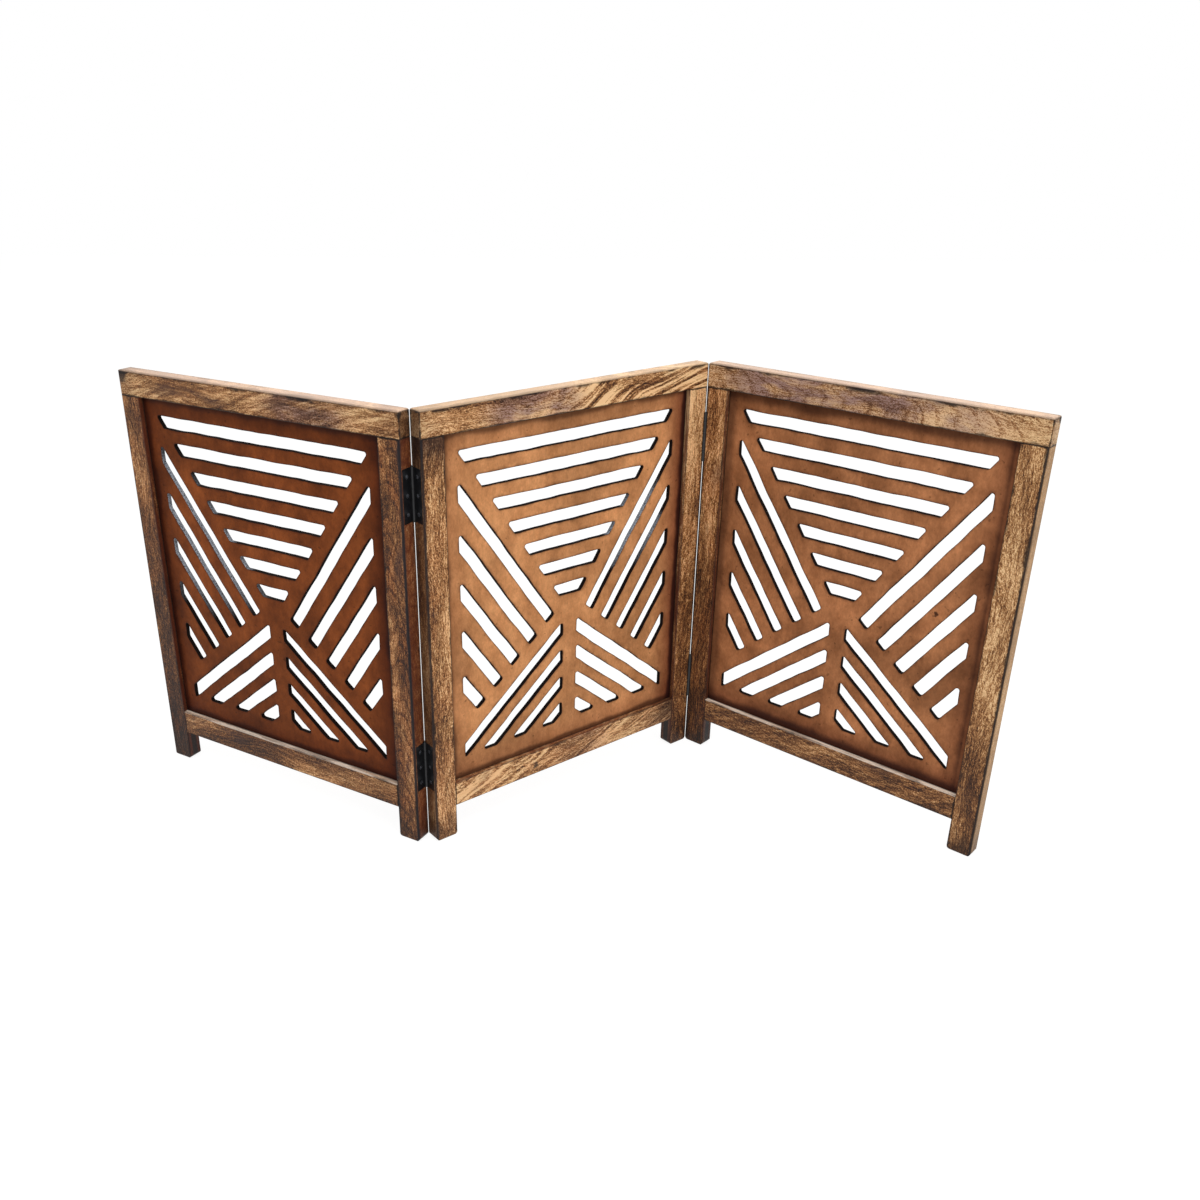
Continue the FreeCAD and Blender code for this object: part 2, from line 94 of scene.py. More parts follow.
# The wood's colours, from dark brown to pale gold, and what is laid over them.
WOOD_TONES = [
    (0.0, tone(36, 20, 13)), (0.25, tone(80, 48, 27)), (0.50, tone(134, 90, 52)),
    (0.75, tone(192, 144, 94)), (1.0, tone(244, 208, 158))]
SMUDGED = tone(70, 48, 44)
KNOT = tone(40, 22, 18)
# Char, which is also used as painted shade on the inner faces of the bars.
CHAR_AND_PAINTED_SHADE = tone(30, 17, 13)
SCORCHED_LINE = tone(24, 20, 26)
# Burnt arrises. The same colour is also painted shade in the groove where a bar meets the board.
BURNT_ARRIS_AND_SHADE = tone(17, 11, 10)
# Painted sheen on the top faces of the top rails, and a painted highlight on the ledge of the bottom
# rails.
PAINTED_TOP_SHEEN = tone(246, 216, 194)
PAINTED_WARM_SHEEN = tone(250, 216, 180)
PAINTED_LEDGE_HIGHLIGHT = tone(255, 236, 218)

# The board's own darker colours.
FRAME_EDGE = tone(42, 18, 16)
BOARD_KNOT = tone(40, 18, 14)
SMOKED_RIM = tone(58, 28, 22)
BURNT_RIM = tone(26, 14, 14)
CHARRED_WALL = tone(20, 13, 11)
# A painted grey-blue reflection on some slot walls, speckled from dark to light.
PAINTED_GLINT_TONES = [(0.0, tone(44, 47, 54)), (1.0, tone(168, 174, 184))]

# Stains that let the wood show through: each multiplies what is under it.
RED_BLUSH = (1.0, 0.72, 0.60, 1.0)
SMOKY_SMEAR = (0.40, 0.38, 0.62, 1.0)
SOOT = (0.13, 0.105, 0.12, 1.0)
WARM_PATCH = (1.0, 0.86, 0.74, 1.0)
RED_HAZE = (0.30, 0.19, 0.20, 1.0)

# How much light bare reflections add: stained wood is duller than varnish.
WOOD_SHINE = 0.22
BOARD_SHINE = 0.06

# The looks of a bar, where BARS gives no other. Places are along the grain and across, in metres.
OFF_THE_BAR = (0.0, 0.0, 1.0)
PLAIN_BAR = {
    "Half size": HALF_STILE, "Seed": 0.0, "Gold": 0.5, "Fade": 0.0, "Red": 0.2, "Arcs": 0.0,
    "Curl": 0.15, "Curl start": -1.0, "Cool": 0.0, "Cool place": 0.0, "Cool reach": 0.1,
    "Scorch": 1.0, "Outer scorch": 0.0, "Outer line": 0.0, "Line width": 0.003, "Board side": 1.0,
    "Dark start": 0.0, "Dark end": 0.0, "End char": 0.0, "Inner shade and ledge highlight": CHAR_AND_PAINTED_SHADE, "Inner shade and highlight share": 0.93,
    "Outer tone and top sheen": CHAR_AND_PAINTED_SHADE, "Outer tone and sheen share": 0.0, "Mark place": OFF_THE_BAR, "Mark reach": 0.01}

# The looks of a board, where BOARDS gives no other. Places are in the panel, in metres.
OFF_THE_BOARD = (0.0, 0.0, 0.0)
PLAIN_BOARD = {
    "Seed": 0.0, "Stain": CHAR_AND_PAINTED_SHADE, "Patchy": 1.0, "Slot distance": FARTHEST_KEPT, "Left": 0.5,
    "Right": 0.5, "Top": 0.5, "Bottom": 0.5, "Edge reach": 0.012, "Bare strip": 0.0,
    "Mark place": OFF_THE_BOARD, "Glint place": OFF_THE_BOARD, "Glint reach": 0.01, "Glint slope": 0.0}


# Node helpers: a value is either a plain number or the output of another node.

def feed(tree, socket, value):
    if isinstance(value, bpy.types.NodeSocket):
        tree.links.new(value, socket)
    else:
        socket.default_value = value


def calc(tree, operation, *values):
    made = tree.nodes.new("ShaderNodeMath")
    made.operation = operation
    for socket, value in zip(made.inputs, values):
        feed(tree, socket, value)
    return made.outputs[0]


def vector_calc(tree, operation, *values):
    made = tree.nodes.new("ShaderNodeVectorMath")
    made.operation = operation
    for socket, value in zip(made.inputs, values):
        feed(tree, socket, value)
    return made.outputs[0]


def ease(tree, value, low, high, at_low=0.0, at_high=1.0):
    """A smooth step of the value from low to high."""
    made = tree.nodes.new("ShaderNodeMapRange")
    made.interpolation_type = "SMOOTHSTEP"
    feed(tree, made.inputs["Value"], value)
    feed(tree, made.inputs["From Min"], low)
    feed(tree, made.inputs["From Max"], high)
    feed(tree, made.inputs["To Min"], at_low)
    feed(tree, made.inputs["To Max"], at_high)
    return made.outputs["Result"]


def fading(tree, value, low, high, strength=1.0):
    """A given strength up to low, and nothing from high on."""
    return ease(tree, value, low, high, strength, 0.0)


def swayed(tree, value, noise, amount):
    """The value with a noise added, which moves it by up to half the amount either way."""
    return calc(tree, "ADD", value, calc(tree, "MULTIPLY_ADD", noise, amount, -amount / 2.0))


def cloud(tree, where, scales, detail=2.0, roughness=0.5, distortion=0.0):
    """Noise with its own scale along each direction, in features per metre."""
    made = tree.nodes.new("ShaderNodeTexNoise")
    feed(tree, made.inputs["Vector"], vector_calc(tree, "MULTIPLY", where, scales))
    made.inputs["Scale"].default_value = 1.0
    made.inputs["Detail"].default_value = detail
    made.inputs["Roughness"].default_value = roughness
    made.inputs["Distortion"].default_value = distortion
    return made.outputs["Fac"]


def tint(tree, factor, first, second, mode="MIX"):
    made = tree.nodes.new("ShaderNodeMix")
    made.data_type = "RGBA"
    made.blend_type = mode
    feed(tree, made.inputs[0], factor)
    feed(tree, made.inputs[6], first)
    feed(tree, made.inputs[7], second)
    return made.outputs[2]


def ramp(tree, factor, stops):
    made = tree.nodes.new("ShaderNodeValToRGB")
    feed(tree, made.inputs["Fac"], factor)
    band = made.color_ramp
    while len(band.elements) < len(stops):
        band.elements.new(0.5)
    for element, (place, colour) in zip(band.elements, stops):
        element.position = place
        element.color = colour
    return made.outputs["Color"]


def split(tree, vector):
    made = tree.nodes.new("ShaderNodeSeparateXYZ")
    feed(tree, made.inputs[0], vector)
    return made.outputs


def join(tree, x, y, z):
    made = tree.nodes.new("ShaderNodeCombineXYZ")
    feed(tree, made.inputs[0], x)
    feed(tree, made.inputs[1], y)
    feed(tree, made.inputs[2], z)
    return made.outputs[0]


def shifted(tree, place, seed, steps):
    """The place moved off by the seed, so that no two pieces have the same pattern."""
    shift = vector_calc(tree, "MULTIPLY", join(tree, seed, seed, seed), steps)
    return vector_calc(tree, "ADD", place, shift)


def face_distance(tree, place, centre):
    """How far the place is from a centre, measured on the panel's broad face."""
    x, y, z = split(tree, vector_calc(tree, "SUBTRACT", place, centre))
    squares = calc(tree, "ADD", calc(tree, "MULTIPLY", x, x), calc(tree, "MULTIPLY", z, z))
    return calc(tree, "SQRT", squares)


def measured_from(tree, origin, turn):
    """Object coordinates, measured from an origin and turned with its panel."""
    coordinates = tree.nodes.new("ShaderNodeTexCoord")
    mapping = tree.nodes.new("ShaderNodeMapping")
    mapping.vector_type = "TEXTURE"
    mapping.inputs["Location"].default_value = origin
    mapping.inputs["Rotation"].default_value = (0.0, 0.0, math.radians(turn))
    tree.links.new(coordinates.outputs["Object"], mapping.inputs["Vector"])
    return mapping.outputs["Vector"]


def socket_kind(value):
    if isinstance(value, float):
        return "NodeSocketFloat"
    if len(value) == 3:
        return "NodeSocketVector"
    return "NodeSocketColor"


def new_group(name, settings):
    """A group of nodes that takes a place and the settings, and gives a finish."""
    tree = bpy.data.node_groups.new(name, "ShaderNodeTree")
    tree.interface.new_socket(name="Place", in_out="INPUT", socket_type="NodeSocketVector")
    for label, value in settings.items():
        tree.interface.new_socket(name=label, in_out="INPUT", socket_type=socket_kind(value))
    tree.interface.new_socket(name="Color", in_out="OUTPUT", socket_type="NodeSocketColor")
    tree.interface.new_socket(name="Roughness", in_out="OUTPUT", socket_type="NodeSocketFloat")
    tree.interface.new_socket(name="Height", in_out="OUTPUT", socket_type="NodeSocketFloat")
    entry = tree.nodes.new("NodeGroupInput")
    leave = tree.nodes.new("NodeGroupOutput")
    return tree, entry.outputs, leave.inputs


def curly_figure(tree, given, here, along, broad):
    """Pale streaks that slant across the grain, from one place on the bar onwards."""
    x, y, z = split(tree, here)
    slanted = calc(tree, "MULTIPLY_ADD", z, -2.6, x)
    streaks = cloud(tree, join(tree, slanted, y, z), (60.0, 30.0, 16.0), 4.0, 0.62, 0.2)
    streaks = ease(tree, streaks, 0.34, 0.68, -0.5, 0.5)
    streaks = calc(tree, "MULTIPLY", streaks, ease(tree, broad, 0.30, 0.52))
    past_start = calc(tree, "SUBTRACT", along, given["Curl start"])
    streaks = calc(tree, "MULTIPLY", streaks, ease(tree, past_start, -0.03, 0.03))
    return calc(tree, "MULTIPLY", streaks, given["Curl"])


def growth_lines(tree, given, along, strayed, broad, mottle):
    """Dark lines: nested arcs on a flat-sawn bar, straight lines on the others."""
    bow = calc(tree, "MULTIPLY", calc(tree, "MULTIPLY", strayed, strayed), 2600.0)
    arcs = calc(tree, "MULTIPLY_ADD", along, 52.0, bow)
    straight = calc(tree, "MULTIPLY", strayed, 210.0)
    straight = calc(tree, "MULTIPLY", straight, calc(tree, "SUBTRACT", 1.0, given["Arcs"]))
    rings = calc(tree, "MULTIPLY_ADD", arcs, given["Arcs"], straight)
    rings = calc(tree, "MULTIPLY_ADD", broad, 3.4, rings)
    ring = calc(tree, "FRACT", rings)
    line = calc(tree, "MULTIPLY", ease(tree, ring, 0.0, 0.10), fading(tree, ring, 0.12, 0.42))
    depth = calc(tree, "MULTIPLY_ADD", given["Arcs"], 0.19, 0.05)
    depth = calc(tree, "MULTIPLY", depth, ease(tree, mottle, 0.35, 0.65, 0.5, 1.3))
    return calc(tree, "MULTIPLY", line, depth)


def smoky_smear(tree, given, here, along):
    """How strong the cool smear in the stain is: it lies at one place along the bar."""
    away = calc(tree, "ABSOLUTE", calc(tree, "SUBTRACT", along, given["Cool place"]))
    smear = fading(tree, away, calc(tree, "MULTIPLY", given["Cool reach"], 0.4), given["Cool reach"])
    patchy = ease(tree, cloud(tree, here, (15.0, 42.0, 42.0), 3.0, 0.6), 0.34, 0.58, 0.25, 1.0)
    return calc(tree, "MULTIPLY", calc(tree, "MULTIPLY", smear, patchy), given["Cool"])


def nearest_arris(tree, to_end, to_face, to_side):
    """How far the nearest arris is: the middle one of the distances to the bar's faces."""
    low = calc(tree, "MINIMUM", to_face, to_side)
    high = calc(tree, "MAXIMUM", to_face, to_side)
    to_end = calc(tree, "MULTIPLY", to_end, 1.6)
    return calc(tree, "MAXIMUM", low, calc(tree, "MINIMUM", high, to_end))


def make_scorched_wood():
    """Flecked hardwood, stained golden to dark brown, with scorched arrises."""
    tree, given, result = new_group("scorched wood", PLAIN_BAR)
    place = given["Place"]
    along, depth, across = split(tree, place)

    # The grain wanders a little from side to side.
    here = shifted(tree, place, given["Seed"], (1.73, 0.91, 1.37))
    wander = cloud(tree, here, (6.0, 14.0, 14.0), 2.0)
    wander = calc(tree, "MULTIPLY", calc(tree, "SUBTRACT", wander, 0.5), 0.045)
    here = vector_calc(tree, "ADD", here, join(tree, 0.0, 0.0, wander))
    strayed = calc(tree, "ADD", across, wander)

    # Patterns from broad clouds down to single flecks and pores.
    broad = cloud(tree, here, (5.5, 22.0, 22.0), 2.0)
    mottle = cloud(tree, here, (19.0, 62.0, 62.0), 3.0, 0.6)
    strand = ease(tree, cloud(tree, here, (28.0, 420.0, 420.0), 3.0, 0.65), 0.36, 0.64)
    here_x, here_y, here_z = split(tree, here)
    leaning = join(tree, here_x, here_y, calc(tree, "MULTIPLY_ADD", here_x, 0.10, here_z))
    fleck = ease(tree, cloud(tree, leaning, (330.0, 1150.0, 1150.0), 2.0, 0.7), 0.34, 0.66)
    grit = ease(tree, cloud(tree, here, (760.0, 900.0, 900.0), 1.0, 0.6), 0.34, 0.66)
    dash = ease(tree, cloud(tree, here, (95.0, 620.0, 620.0), 2.0, 0.65), 0.36, 0.64)
    pore = ease(tree, cloud(tree, leaning, (200.0, 1500.0, 1500.0), 1.0, 0.5), 0.54, 0.68)

    # How light the wood is: 0 is the darkest of its colours and 1 the palest.
    light = swayed(tree, given["Gold"], broad, 1.3)
    light = calc(tree, "ADD", light, calc(tree, "MULTIPLY", along, given["Fade"]))
    light = calc(tree, "ADD", light, curly_figure(tree, given, here, along, broad))
    for pattern, amount in ((mottle, 0.56), (strand, 0.24), (fleck, 0.42), (grit, 0.26), (dash, 0.18)):
        light = swayed(tree, light, pattern, amount)
    light = calc(tree, "MULTIPLY_ADD", pore, -0.16, light)
    light = calc(tree, "SUBTRACT", light, growth_lines(tree, given, along, strayed, broad, mottle))
    wood = ramp(tree, light, WOOD_TONES)

    # Red in the stain, dull smudges, a cool smear and a knot or scorched spot at one place.
    blush = calc(tree, "MULTIPLY", given["Red"], ease(tree, mottle, 0.35, 0.65, 0.3, 1.2))
    wood = tint(tree, blush, wood, RED_BLUSH, "MULTIPLY")
    smudge = cloud(tree, here, (9.0, 30.0, 30.0), 4.0, 0.62, 0.3)
    wood = tint(tree, ease(tree, smudge, 0.56, 0.74, 0.0, 0.5), wood, SMUDGED)
    wood = tint(tree, smoky_smear(tree, given, here, along), wood, SMOKY_SMEAR, "MULTIPLY")
    uneven = cloud(tree, here, (110.0, 200.0, 200.0), 3.0, 0.6)
    from_mark = swayed(tree, face_distance(tree, place, given["Mark place"]), uneven, 0.014)
    mark_core = calc(tree, "MULTIPLY", given["Mark reach"], 0.4)
    wood = tint(tree, fading(tree, from_mark, mark_core, given["Mark reach"], 0.9), wood, KNOT)

    # Distances to the bar's faces. The inner side faces the board, and the outer side is what a
    # hand or the next panel meets.
    half_along, half_depth, half_across = split(tree, given["Half size"])
    to_end = calc(tree, "SUBTRACT", half_along, calc(tree, "ABSOLUTE", along))
    to_face = calc(tree, "SUBTRACT", half_depth, calc(tree, "ABSOLUTE", depth))
    to_side = calc(tree, "SUBTRACT", half_across, calc(tree, "ABSOLUTE", across))
    inward = calc(tree, "MULTIPLY", across, given["Board side"])
    to_inner = calc(tree, "SUBTRACT", half_across, inward)
    to_outer = calc(tree, "ADD", half_across, inward)

    # Ragged scorching along the arrises, which may reach further at the outer side.
    lick = cloud(tree, here, (22.0, 60.0, 60.0), 3.0, 0.62)
    ragged = cloud(tree, here, (190.0, 420.0, 420.0), 2.0, 0.6)
    reach = calc(tree, "MULTIPLY", ease(tree, lick, 0.46, 0.72, 0.0018, 0.0062), given["Scorch"])
    wider = calc(tree, "MULTIPLY_ADD", fading(tree, to_outer, 0.004, 0.012), given["Outer scorch"], 1.0)
    reach = calc(tree, "MULTIPLY", reach, wider)
    edge = swayed(tree, nearest_arris(tree, to_end, to_face, to_side), ragged, 0.0022)
    burnt = fading(tree, edge, calc(tree, "MULTIPLY", reach, 0.20), reach, 0.94)

    # The inner and the outer side have tones of their own, and are burnt less. These are partly painted
    # light: painted shade with some char on the inner faces of the stiles and under the top rails, a
    # painted highlight on the bottom rails' ledge, and a painted sheen on the top rails' top faces.
    on_inner = fading(tree, to_inner, 0.0007, 0.0020)
    streak = ease(tree, cloud(tree, here, (18.0, 190.0, 10.0), 2.0, 0.5), 0.46, 0.62, 1.0, 0.45)
    inner = calc(tree, "MULTIPLY", calc(tree, "MULTIPLY", on_inner, streak), given["Inner shade and highlight share"])
    outer = calc(tree, "MULTIPLY", fading(tree, to_outer, 0.0008, 0.0026), given["Outer tone and sheen share"])
    wood = tint(tree, inner, wood, given["Inner shade and ledge highlight"])
    wood = tint(tree, calc(tree, "MULTIPLY", outer, 0.70), wood, given["Outer tone and top sheen"])
    kept = calc(tree, "MULTIPLY", calc(tree, "MAXIMUM", outer, inner), 0.75)
    burnt = calc(tree, "MULTIPLY", burnt, calc(tree, "SUBTRACT", 1.0, kept))
    # Painted shade in the groove: a dark band on the inner face where the bar meets the board.
    from_middle = calc(tree, "ABSOLUTE", depth)
    shade_at_board = calc(tree, "MULTIPLY", fading(tree, from_middle, 0.0034, 0.0062, 0.9), on_inner)

    # A dark line along the outer arris, on the broad faces.
    stray = swayed(tree, swayed(tree, to_outer, ragged, 0.0024), lick, 0.0040)
    line = fading(tree, stray, calc(tree, "MULTIPLY", given["Line width"], 0.5), given["Line width"])
    line = calc(tree, "MULTIPLY", line, fading(tree, to_face, 0.0006, 0.0016))
    line = calc(tree, "MULTIPLY", line, given["Outer line"])

    # Soot on the end faces, and drifting in from each end.
    soot = calc(tree, "MULTIPLY", fading(tree, to_end, 0.0006, 0.0018), given["End char"])
    for direction, length, share in ((1.0, 0.05, "Dark start"), (-1.0, 0.07, "Dark end")):
        from_tip = calc(tree, "MULTIPLY_ADD", along, direction, half_along)
        from_tip = swayed(tree, swayed(tree, from_tip, lick, 0.10), strand, 0.016)
        sooty = calc(tree, "MULTIPLY", fading(tree, from_tip, 0.0, length), given[share])
        soot = calc(tree, "MAXIMUM", soot, sooty)
    wood = tint(tree, soot, wood, SOOT, "MULTIPLY")
    wood = tint(tree, line, wood, SCORCHED_LINE)
    # Burnt arrises, and the painted shade along the board.
    wood = tint(tree, calc(tree, "MAXIMUM", burnt, shade_at_board), wood, BURNT_ARRIS_AND_SHADE)

    rough = calc(tree, "MULTIPLY_ADD", fleck, -0.14, 0.56)
    rough = calc(tree, "MULTIPLY_ADD", burnt, 0.10, rough)
    sanded = cloud(tree, here, (14.0, 55.0, 55.0), 2.0)
    height = calc(tree, "MULTIPLY", sanded, 1.6)
    height = calc(tree, "MULTIPLY_ADD", fleck, 0.30, height)
    height = calc(tree, "MULTIPLY_ADD", pore, -0.35, height)
    feed(tree, result["Color"], wood)
    feed(tree, result["Roughness"], rough)
    feed(tree, result["Height"], height)
    return tree


def frame_shading(tree, given, drift, x, z):
    """Shares of the dark edge and of the wider red haze that are sprayed from the frame inwards.

    Each side has its own strength, and the right bar may shelter a strip beside it."""
    stray = calc(tree, "MULTIPLY_ADD", drift, 0.016, -0.008)
    no_edge = 1.0
    no_haze = 1.0
    for label, distance in (
            ("Left", calc(tree, "ADD", x, OPENING_HALF)),
            ("Right", calc(tree, "SUBTRACT", OPENING_HALF, x)),
            ("Top", calc(tree, "SUBTRACT", OPENING_TOP, z)),
            ("Bottom", calc(tree, "SUBTRACT", z, OPENING_BOTTOM))):
        reached = calc(tree, "ADD", distance, stray)
        edge_start = calc(tree, "MULTIPLY", given["Edge reach"], 0.3)
        edge = fading(tree, reached, edge_start, given["Edge reach"])
        edge = calc(tree, "MULTIPLY", edge, calc(tree, "MULTIPLY_ADD", given[label], 0.5, 0.45))
        if label == "Right":
            shelter = fading(tree, distance, 0.0045, 0.0085, given["Bare strip"])
            edge = calc(tree, "MULTIPLY", edge, calc(tree, "SUBTRACT", 1.0, shelter))
        haze = calc(tree, "MULTIPLY", fading(tree, reached, 0.0, 0.0500), given[label])
        no_edge = calc(tree, "MULTIPLY", no_edge, calc(tree, "SUBTRACT", 1.0, edge))
        no_haze = calc(tree, "MULTIPLY", no_haze, calc(tree, "SUBTRACT", 1.0, haze))
    return calc(tree, "SUBTRACT", 1.0, no_edge), calc(tree, "SUBTRACT", 1.0, no_haze)


def painted_glint_on_walls(tree, given, drift, x, z):
    """Where the slot walls get a painted grey-blue reflection: round one place, and only below the fan of
    slots.
    """
    spread = swayed(tree, face_distance(tree, given["Place"], given["Glint place"]), drift, 0.08)
    painted_glint = fading(tree, spread, calc(tree, "MULTIPLY", given["Glint reach"], 0.6), given["Glint reach"], 0.95)
    beside_fan = calc(tree, "MULTIPLY_ADD", x, given["Glint slope"], z)
    return calc(tree, "MULTIPLY", painted_glint, fading(tree, beside_fan, 0.300, 0.316))


def make_board_stain():
    """Stain sprayed on a smooth board: cloudy, darker at the frame and burnt at the slots."""
    tree, given, result = new_group("board stain", PLAIN_BOARD)
    place = given["Place"]
    x, y, z = split(tree, place)
    here = shifted(tree, place, given["Seed"], (1.31, 0.77, 1.93))

    # How strong the stain is, from broad clouds down to fine grain and specks.
    broad = cloud(tree, here, (9.0, 9.0, 9.0), 2.0)
    patch = cloud(tree, here, (30.0, 30.0, 22.0), 4.0, 0.62)
    grainy = cloud(tree, here, (170.0, 170.0, 95.0), 3.0, 0.6)
    fine = cloud(tree, here, (520.0, 520.0, 300.0), 2.0, 0.6)
    speck = ease(tree, cloud(tree, here, (190.0, 190.0, 190.0), 0.0), 0.81, 0.85)
    patches = calc(tree, "MULTIPLY", calc(tree, "SUBTRACT", patch, 0.5), given["Patchy"])
    value = calc(tree, "MULTIPLY_ADD", broad, 1.20, 0.40)
    value = calc(tree, "MULTIPLY", value, calc(tree, "ADD", patches, 1.0))
    for pattern, amount, base in ((grainy, 0.60, 0.70), (fine, 0.46, 0.77), (speck, -0.35, 1.0)):
        value = calc(tree, "MULTIPLY", value, calc(tree, "MULTIPLY_ADD", pattern, amount, base))
    colour = tint(tree, 1.0, given["Stain"], join(tree, value, value, value), "MULTIPLY")
    colour = tint(tree, ease(tree, patch, 0.35, 0.65, 0.35, 0.0), colour, WARM_PATCH, "MULTIPLY")

    drift = cloud(tree, here, (16.0, 16.0, 16.0), 3.0)
    edge, haze = frame_shading(tree, given, drift, x, z)
    colour = tint(tree, haze, colour, RED_HAZE, "MULTIPLY")
    colour = tint(tree, edge, colour, FRAME_EDGE)

    # A knot at one place.
    uneven = cloud(tree, here, (260.0, 260.0, 260.0), 3.0, 0.6)
    from_mark = swayed(tree, face_distance(tree, place, given["Mark place"]), uneven, 0.016)
    colour = tint(tree, fading(tree, from_mark, 0.0015, 0.0042, 0.85), colour, BOARD_KNOT)

    # Scorched rims of the slots, from the distance kept on the piece, in millimetres.
    lick = cloud(tree, here, (45.0, 45.0, 45.0), 3.0, 0.6)
    ragged = cloud(tree, here, (380.0, 380.0, 380.0), 2.0, 0.6)
    reach = ease(tree, lick, 0.38, 0.70, 0.6, 2.0)
    rim = swayed(tree, given["Slot distance"], ragged, 0.8)
    smoke_reach = calc(tree, "MULTIPLY", reach, 3.6)
    smoke = fading(tree, given["Slot distance"], 0.3, smoke_reach, 0.40)
    colour = tint(tree, smoke, colour, SMOKED_RIM)
    colour = tint(tree, fading(tree, rim, 0.15, reach, 0.95), colour, BURNT_RIM)

    # Charred slot walls, with a painted grey-blue reflection in one place.
    wall = fading(tree, given["Slot distance"], 0.05, 0.30)
    colour = tint(tree, wall, colour, CHARRED_WALL)
    painted_glint = calc(tree, "MULTIPLY", wall, painted_glint_on_walls(tree, given, drift, x, z))
    glint_speckle = ease(tree, cloud(tree, here, (700.0, 700.0, 700.0), 3.0, 0.7), 0.36, 0.60)
    colour = tint(tree, painted_glint, colour, ramp(tree, glint_speckle, PAINTED_GLINT_TONES))

    rough = calc(tree, "MULTIPLY_ADD", patch, 0.16, 0.36)
    rough = calc(tree, "MULTIPLY_ADD", wall, 0.40, rough)
    height = calc(tree, "ADD", calc(tree, "MULTIPLY", fine, 0.25), calc(tree, "MULTIPLY", patch, 0.9))
    feed(tree, result["Color"], colour)
    feed(tree, result["Roughness"], rough)
    feed(tree, result["Height"], height)
    return tree


SCORCHED_WOOD = make_scorched_wood()
BOARD_STAIN = make_board_stain()


def start_material(name):
    material = bpy.data.materials.new(name)
    material.use_nodes = True
    tree = material.node_tree
    tree.nodes.clear()
    shader = tree.nodes.new("ShaderNodeBsdfPrincipled")
    output = tree.nodes.new("ShaderNodeOutputMaterial")
    tree.links.new(shader.outputs["BSDF"], output.inputs["Surface"])
    return material, tree, shader


def finish_surface(tree, shader, colour, roughness, height, bump_depth, bump_strength):
    bump = tree.nodes.new("ShaderNodeBump")
    bump.inputs["Strength"].default_value = bump_strength
    bump.inputs["Distance"].default_value = bump_depth
    feed(tree, bump.inputs["Height"], height)
    feed(tree, shader.inputs["Base Color"], colour)
    feed(tree, shader.inputs["Roughness"], roughness)
    tree.links.new(bump.outputs["Normal"], shader.inputs["Normal"])


def add_group(tree, group, place, settings):
    added = tree.nodes.new("ShaderNodeGroup")
    added.node_tree = group
    feed(tree, added.inputs["Place"], place)
    for label, value in settings.items():
        added.inputs[label].default_value = value
    return added


def node_centre(node):
    low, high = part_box(node)
    return (Vector(low) + Vector(high)) / 2.0


def panel_of(node):
    return node.split("_")[0]


def bar_material(node, half, looks):
    material, tree, shader = start_material(node + "_wood")
    place = measured_from(tree, node_centre(node), PANEL_TURN[panel_of(node)])
    if half is HALF_STILE:
        x, y, z = split(tree, place)
        place = join(tree, z, y, x)
    wood = add_group(tree, SCORCHED_WOOD, place, {**PLAIN_BAR, **looks, "Half size": half})
    finish_surface(tree, shader, wood.outputs["Color"], wood.outputs["Roughness"],
                   wood.outputs["Height"], bump_depth=0.0004, bump_strength=0.6)
    shader.inputs["Specular IOR Level"].default_value = WOOD_SHINE
    return material


def panel_origin(panel):
    """The point on the floor from which a panel's own sizes are measured."""
    centre = node_centre(panel + "_panel_slotted_board")
    turned = Matrix.Rotation(math.radians(PANEL_TURN[panel]), 3, "Z")
    back = turned @ Vector((0.0, BOARD_MIDDLE_DEPTH, 0.0))
    return Vector((centre.x - back.x, centre.y - back.y, 0.0))


def board_material(panel, looks):
    material, tree, shader = start_material(panel + "_board_stain")
    place = measured_from(tree, panel_origin(panel), PANEL_TURN[panel])
    stained = add_group(tree, BOARD_STAIN, place, {**PLAIN_BOARD, **looks})
    kept = tree.nodes.new("ShaderNodeAttribute")
    kept.attribute_name = "slot_distance"
    feed(tree, stained.inputs["Slot distance"], kept.outputs["Fac"])
    finish_surface(tree, shader, stained.outputs["Color"], stained.outputs["Roughness"],
                   stained.outputs["Height"], bump_depth=0.0003, bump_strength=0.35)
    shader.inputs["Specular IOR Level"].default_value = BOARD_SHINE
    return material


def steel_material(name, colour, metallic, roughness, worn):
    material, tree, shader = start_material(name)
    coordinates = tree.nodes.new("ShaderNodeTexCoord")
    where = coordinates.outputs["Object"]
    grime = cloud(tree, where, (260.0, 260.0, 260.0), 3.0, 0.6)
    scuff = cloud(tree, where, (900.0, 900.0, 900.0), 2.0, 0.6)
    colour = tint(tree, ease(tree, grime, 0.52, 0.72, 0.0, 0.5), colour, worn)
    rough = calc(tree, "MULTIPLY_ADD", scuff, 0.25, roughness)
    finish_surface(tree, shader, colour, rough, scuff, bump_depth=0.00012, bump_strength=0.5)
    shader.inputs["Metallic"].default_value = metallic
    return material


def pick(piece):
    bpy.ops.object.select_all(action="DESELECT")
    piece.select_set(True)
    bpy.context.view_layer.objects.active = piece


def between_face_and_wall(edge):
    """An edge between a broad face of the board and the wall of a slot."""
    if len(edge.link_faces) != 2:
        return False
    broad = [abs(face.normal.y) > 0.9 for face in edge.link_faces]
    return broad[0] != broad[1] and all(abs(vertex.co.x) < SLOTTED_HALF for vertex in edge.verts)


def select_rims(piece, longest=0.0):
    """Selects the slot rims that are longer than a given length, and says how many there are."""
    bpy.ops.mesh.select_mode(type="EDGE")
    bpy.ops.mesh.select_all(action="DESELECT")
    found = 0
    for edge in bmesh.from_edit_mesh(piece.data).edges:
        if between_face_and_wall(edge) and edge.calc_length() > longest:
            edge.select = True
            found = found + 1
    bmesh.update_edit_mesh(piece.data)
    return found


